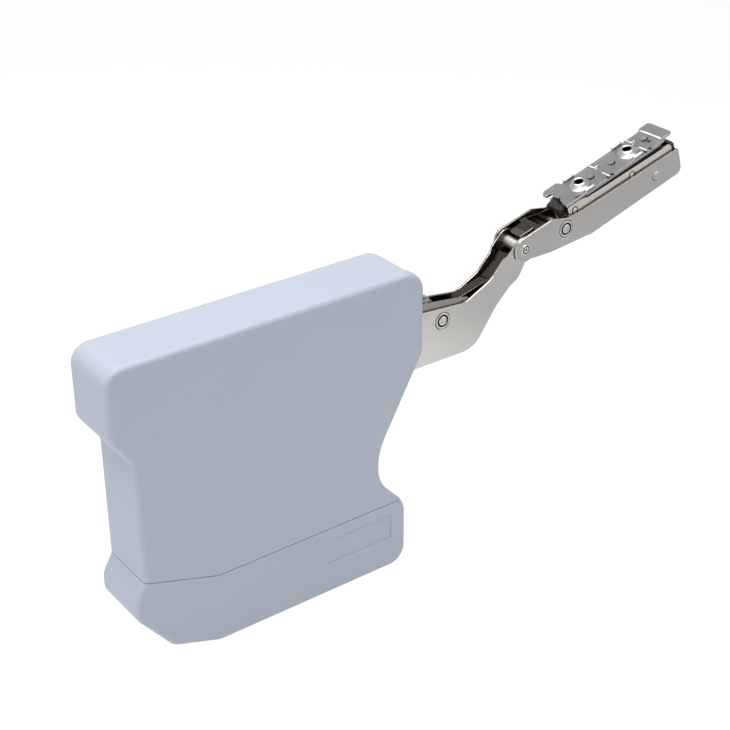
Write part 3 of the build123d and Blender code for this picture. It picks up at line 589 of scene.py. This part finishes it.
# Hinge: hollow rivet with a rolled head on both sides, and the bright barrel between
# the lever's ears.
barrel_steel = plated(
    "barrel_steel",
    colour=(0.6, 0.61, 0.61),
    inside_shade_colour=(0.55, 0.55, 0.55),
    painted_edge_colour=(0.6, 0.61, 0.61),
    roughness=0.48,
    cloud=0.08,
    stretch=1.0,
)
paint_node("hinge_barrel", barrel_steel)
rolled = [
    (0.55, -8.5),
    (1.5, -8.5),
    (1.9, -8.42),
    (2.45, -8.5),
    (2.72, -8.3),
    (2.75, -8.1),
    (2.0, -8.1),
    (2.0, 8.1),
    (2.75, 8.1),
    (2.72, 8.3),
    (2.5, 8.5),
    (2.2, 8.5),
    (2.0, 8.36),
    (1.95, 8.18),
    (1.55, 8.18),
    (1.5, 8.4),
    (1.35, 8.46),
    (0.65, 8.46),
    (0.55, 8.38),
]
as_rivet = ("channel", "bright_pin")
rolled_rivet = turned_shape("hinge_rivet_rolled", hinge, towards_room, rolled, nickel, *as_rivet)
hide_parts("hinge_rivet")
# A black ring in the rolled head's groove is painted shade.
hinge_groove_shade = [(1.52, 8.15), (1.52, 8.36), (2.06, 8.36), (2.06, 8.15)]
turned_shape("hinge_rivet_groove_shade", hinge, towards_room, hinge_groove_shade, shadow_black, *as_rivet)

# Clip: a black moulded block pressed into the bracket, and the release lever, moulded in
# the same plastic, which turns on a pin through the cheeks.
black_plastic = moulded(
    "black_plastic",
    colour=(0.013, 0.013, 0.014),
    worn_colour=(0.04, 0.04, 0.042),
    roughness=0.38,
    cloud=0.3,
    bump=0.3,
    gloss=0.35,
)
paint_node("clip_block", black_plastic)
tumbled("release_lever", "release", black_plastic, width=0.0002)

# Door plate: pressed from thinner strip with a matt nickel finish. Its screw cones are
# flared and polished by the press, and ribs, bumps and lugs are half pierced through it.
def rounded_block(name, centre, size, material, body, slot, squareness=0.3):
    """Superellipsoid: each coordinate is a signed power of the sines and cosines of two angles."""
    around = np.linspace(-np.pi, np.pi, 48, endpoint=False)
    from_foot_to_top = np.linspace(-np.pi / 2.0, np.pi / 2.0, 25)
    longitude, latitude = np.meshgrid(around, from_foot_to_top, indexing="ij")
    waves = [np.cos(latitude), np.cos(longitude), np.sin(longitude), np.sin(latitude)]
    reach, forth, over, above = [np.sign(wave) * np.abs(wave) ** squareness for wave in waves]
    axes = np.array([door_along, (0.0, 1.0, 0.0), door_up])
    shares = np.stack([reach * forth, reach * over, above], axis=-1) * np.array(size) / 2000.0
    points = shares @ axes + np.array(centre)
    rows, columns = longitude.shape
    row, column = np.meshgrid(np.arange(rows), np.arange(columns - 1), indexing="ij")
    here = row * columns + column
    side = (row + 1) % rows * columns + column
    quads = np.stack([here, side, side + 1, here + 1], axis=-1).reshape(-1, 4)
    mesh = bpy.data.meshes.new(name)
    mesh.from_pydata(points.reshape(-1, 3), [], quads.tolist())
    shape = bmesh.new()
    shape.from_mesh(mesh)
    bmesh.ops.remove_doubles(shape, verts=shape.verts, dist=2e-6)
    bmesh.ops.recalc_face_normals(shape, faces=shape.faces)
    shape.to_mesh(mesh)
    shape.free()
    mesh.polygons.foreach_set("use_smooth", np.ones(len(mesh.polygons), bool))
    mesh.materials.append(material)
    piece = bpy.data.objects.new(name, mesh)
    bpy.context.scene.collection.objects.link(piece)
    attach(piece, body)
    return piece


def darken_below(material, level, colour):
    """What is lower than the level, in millimetres above the door's line, takes the dark colour."""
    tree = material.node_tree
    target = tree.nodes["Principled BSDF"].inputs["Base Color"]
    painted = target.links[0].from_socket
    place = add_node(tree, "ShaderNodeTexCoord").outputs["Object"]
    axes = {0: place, 1: tuple(door_up)}
    above = add_node(tree, "ShaderNodeVectorMath", axes, operation="DOT_PRODUCT").outputs["Value"]
    base = hinge.dot(door_up) + level / 1000.0
    low = ramp(tree, above, base, base - 0.0001, 0.0, 1.0)
    tree.links.new(mix_colour(tree, low, painted, (*colour, 1.0)), target)


plate_top = 7.8
plate_under = 6.6
matt_nickel = plated(
    "matt_nickel",
    colour=(0.36, 0.35, 0.354),
    inside_shade_colour=(0.3, 0.29, 0.28),
    painted_edge_colour=(0.75, 0.74, 0.73),
    roughness=0.33,
    cloud=0.2,
    stretch=5.0,
    turn=door_turn,
)
# Below the plate's underside the flange is painted near black: painted shade in the gap under the
# plate.
darken_below(matt_nickel, plate_under - 0.45, (0.02, 0.018, 0.016))
# Bright nickel for the ribs, lugs and the bend bead: its light colour is a painted highlight on their
# tops.
highlight_nickel = plated(
    "highlight_nickel",
    colour=(0.92, 0.915, 0.91),
    inside_shade_colour=(0.6, 0.59, 0.58),
    painted_edge_colour=(0.95, 0.95, 0.95),
    roughness=0.4,
    cloud=0.1,
    stretch=2.0,
)
satin_nickel = plated(
    "satin_nickel",
    colour=(0.56, 0.555, 0.55),
    inside_shade_colour=(0.5, 0.49, 0.48),
    painted_edge_colour=(0.56, 0.555, 0.55),
    roughness=0.3,
    cloud=0.06,
    stretch=1.0,
)
darken_below(satin_nickel, plate_top + 0.45, (0.37, 0.36, 0.364))
# Bump caps: the plate's nickel with dark edges, a painted shade round each cap.
step_nickel = plated(
    "step_nickel",
    colour=(0.37, 0.36, 0.36),
    inside_shade_colour=(0.3, 0.29, 0.28),
    painted_edge_colour=(0.12, 0.115, 0.11),
    roughness=0.36,
    cloud=0.1,
    stretch=1.0,
)
tumbled("door_plate", "plate", matt_nickel, width=0.00015)
on_plate = ("plate", "nickel_matt")

# Screw cones and bumps, flared and half pierced from the plate by the press. Each is a
# profile of radius and height above the plate's face.
cone_places = (43.5, 75.5)
flare = [
    (5.75, 0.02),
    (5.45, 0.16),
    (5.0, 0.4),
    (4.6, 0.75),
    (4.15, 1.2),
    (3.7, 1.65),
    (3.4, 1.95),
    (3.1, 2.08),
    (2.7, 2.08),
    (2.38, 1.95),
    (2.2, 1.7),
    (2.2, -1.15),
    (2.35, -1.15),
    (2.6, 0.5),
    (5.0, -0.1),
]
# A black lining inside each screw hole is painted shade.
hole_shade = [(2.05, -1.15), (2.05, 1.45), (2.19, 1.45), (2.19, -1.15)]
for number, along in enumerate(cone_places, 1):
    cone_place = on_door(along, plate_top, 0.0)
    turned_shape(f"screw_cone_{number}", cone_place, door_up, flare, satin_nickel, *on_plate)
    turned_shape(f"screw_hole_shade_{number}", cone_place, door_up, hole_shade, shadow_black, *on_plate)
# Each bump's cap sits shifted towards the far side of a black disc, which shows as a crescent on its
# near side: part the real slit, part painted shade.
bumps = [(50.9, -0.3, 1.7), (64.7, -0.3, 1.7), (87.8, 1.0, 2.0)]
for number, (along, across, radius) in enumerate(bumps, 1):
    slit = [(0.0, -0.2), (radius, -0.2), (radius, 0.3), (0.0, 0.3)]
    bump = [(0.0, -0.2), (radius, -0.2), (radius, 0.35), (0.0, 0.35)]
    slit_place = on_door(along, plate_top, across)
    bump_place = on_door(along - 0.1, plate_top, across + 0.5)
    turned_shape(f"bump_slit_shade_{number}", slit_place, door_up, slit, shadow_black, *on_plate)
    turned_shape(f"bump_{number}", bump_place, door_up, bump, step_nickel, *on_plate)

# Ribs and lugs of the plate, each with a black slab beside it as its painted shadow, and
# then black marks in its small cuts as painted shade: how far along the channel and across it each one
# lies, and its length and width.
ribs = [
    (81.7, 5.6, 0.8, 4.4),
    (83.0, 3.5, 2.6, 0.7),
    (56.7, 5.6, 0.8, 4.4),
    (58.0, 3.5, 2.6, 0.7),
    (56.0, -4.9, 0.8, 5.4),
    (81.0, -4.9, 0.8, 5.4),
    (43.5, 7.45, 6.4, 0.8),
    (75.5, 7.45, 6.4, 0.8),
    (43.5, -7.1, 6.4, 0.8),
    (75.5, -7.1, 6.4, 0.8),
]
rib_height = 1.2
turned_up_height = 2.3
turned_up_from = 6.0
shadow_shift = 0.35
shadow_height = 0.1
for number, (along, across, length, width) in enumerate(ribs, 1):
    tall = turned_up_height if length > turned_up_from else rib_height
    rib = on_door(along, plate_top, across)
    rounded_block(f"rib_{number}", rib, (length, width, tall), highlight_nickel, *on_plate)
    rib_shadow_place = on_door(along + shadow_shift, plate_top, across - shadow_shift)
    shadow_size = (length, width, shadow_height)
    rounded_block(f"rib_shadow_{number}", rib_shadow_place, shadow_size, shadow_black, *on_plate)
notches = [
    (55.2, -7.2, 1.5, 1.5),
    (58.0, -7.2, 1.5, 1.5),
    (80.2, -7.2, 1.5, 1.5),
    (83.4, -7.2, 1.5, 1.5),
    (30.1, -0.3, 1.8, 1.3),
    (35.9, -6.5, 2.6, 0.9),
    (46.4, -6.7, 1.4, 0.8),
    (87.6, -2.6, 2.2, 1.2),
]
notch_sunk = 0.2
notch_height = 0.56
for number, (along, across, length, width) in enumerate(notches, 1):
    notch = on_door(along, plate_top - notch_sunk, across)
    notch_size = (length, width, notch_height)
    rounded_block(f"edge_notch_shade_{number}", notch, notch_size, shadow_black, *on_plate)
# A bright bead along the bend of the plate's tongue: a painted highlight where the bend catches the
# light.
bend_highlight = on_door(91.5, 8.35, 0.1)
rounded_block("tongue_bend_highlight", bend_highlight, (1.5, 15.2, 1.5), highlight_nickel, *on_plate, squareness=0.6)

# Clip bracket: inner channel whose near cheek shows as a warm-toned strip beside the
# plate, with the flush heads of the two pins that it carries.
strip_nickel = plated(
    "strip_nickel",
    colour=(0.68, 0.635, 0.58),
    inside_shade_colour=(0.1, 0.08, 0.065),
    painted_edge_colour=(0.8, 0.78, 0.75),
    roughness=0.24,
    cloud=0.2,
    stretch=6.0,
    turn=door_turn,
)
tumbled("clip_bracket", "channel", strip_nickel, width=0.00018)
cheek = 6.7
pin_places = [(33.1, 2.0), (70.4, -0.1)]
# Round each pin head a black ring is painted shade.
for number, (along, above) in enumerate(pin_places, 1):
    pin_shade_ring = [(0.0, -0.3), (1.85, -0.3), (1.85, 0.08), (0.0, 0.08)]
    cap = [(0.0, -0.2), (1.3, -0.2), (1.3, 0.12), (1.15, 0.16), (0.0, 0.16)]
    place = on_door(along, above, -cheek)
    turned_shape(f"cheek_pin_shade_{number}", place, towards_room, pin_shade_ring, shadow_black, *on_channel)
    turned_shape(f"cheek_pin_{number}", place, towards_room, cap, strip_nickel, *as_rivet)

# Channel's tip: a black rounded bar between the channel's walls stands for its end wall,
# black as painted shade on the end wall's inner face.
end_shade_place = on_door(98.4, 0.1, 0.0)
end_shade_size = (2.5, 13.5, 4.0)
on_end_shade = ("channel", "black_plastic")
rounded_block("channel_end_shade", end_shade_place, end_shade_size, black_plastic, *on_end_shade, squareness=0.35)

# Stamp: a shallow disc half pierced into the channel's near wall by a press tool, in the
# channel's own nickel, with a black ring round it as painted shade at its step.
stamp = [(0.0, -0.3), (2.3, -0.3), (2.3, 0.06), (2.1, 0.12), (0.0, 0.12)]
stamp_shade = [(0.0, -0.3), (2.35, -0.3), (2.35, 0.03), (0.0, 0.03)]
wall = 8.1
stamp_place = on_door(84.0, -8.1, -wall)
stamp_shade_place = on_door(83.7, -8.2, -wall)
turned_shape("wall_stamp", stamp_place, towards_room, stamp, door_nickel, *on_channel)
turned_shape("wall_stamp_shade", stamp_shade_place, towards_room, stamp_shade, shadow_black, *on_channel)

# Tongue of the control link: the top of the pressed strap runs on towards the hinge, in
# a lighter copy of the same burnished nickel, with less painted shade.
burnished_less_shaded = plated(
    "burnished_less_shaded",
    colour=(0.2, 0.165, 0.135),
    inside_shade_colour=(0.1, 0.08, 0.065),
    painted_edge_colour=(0.75, 0.73, 0.7),
    roughness=0.2,
    cloud=0.4,
    stretch=8.0,
)
tongue = on_door(7.0, 4.75, 0.0)
tongue_size = (11.0, 8.2, 0.9)
on_link = ("control", "nickel_steel")
rounded_block("control_link_web", tongue, tongue_size, burnished_less_shaded, *on_link, squareness=0.2)
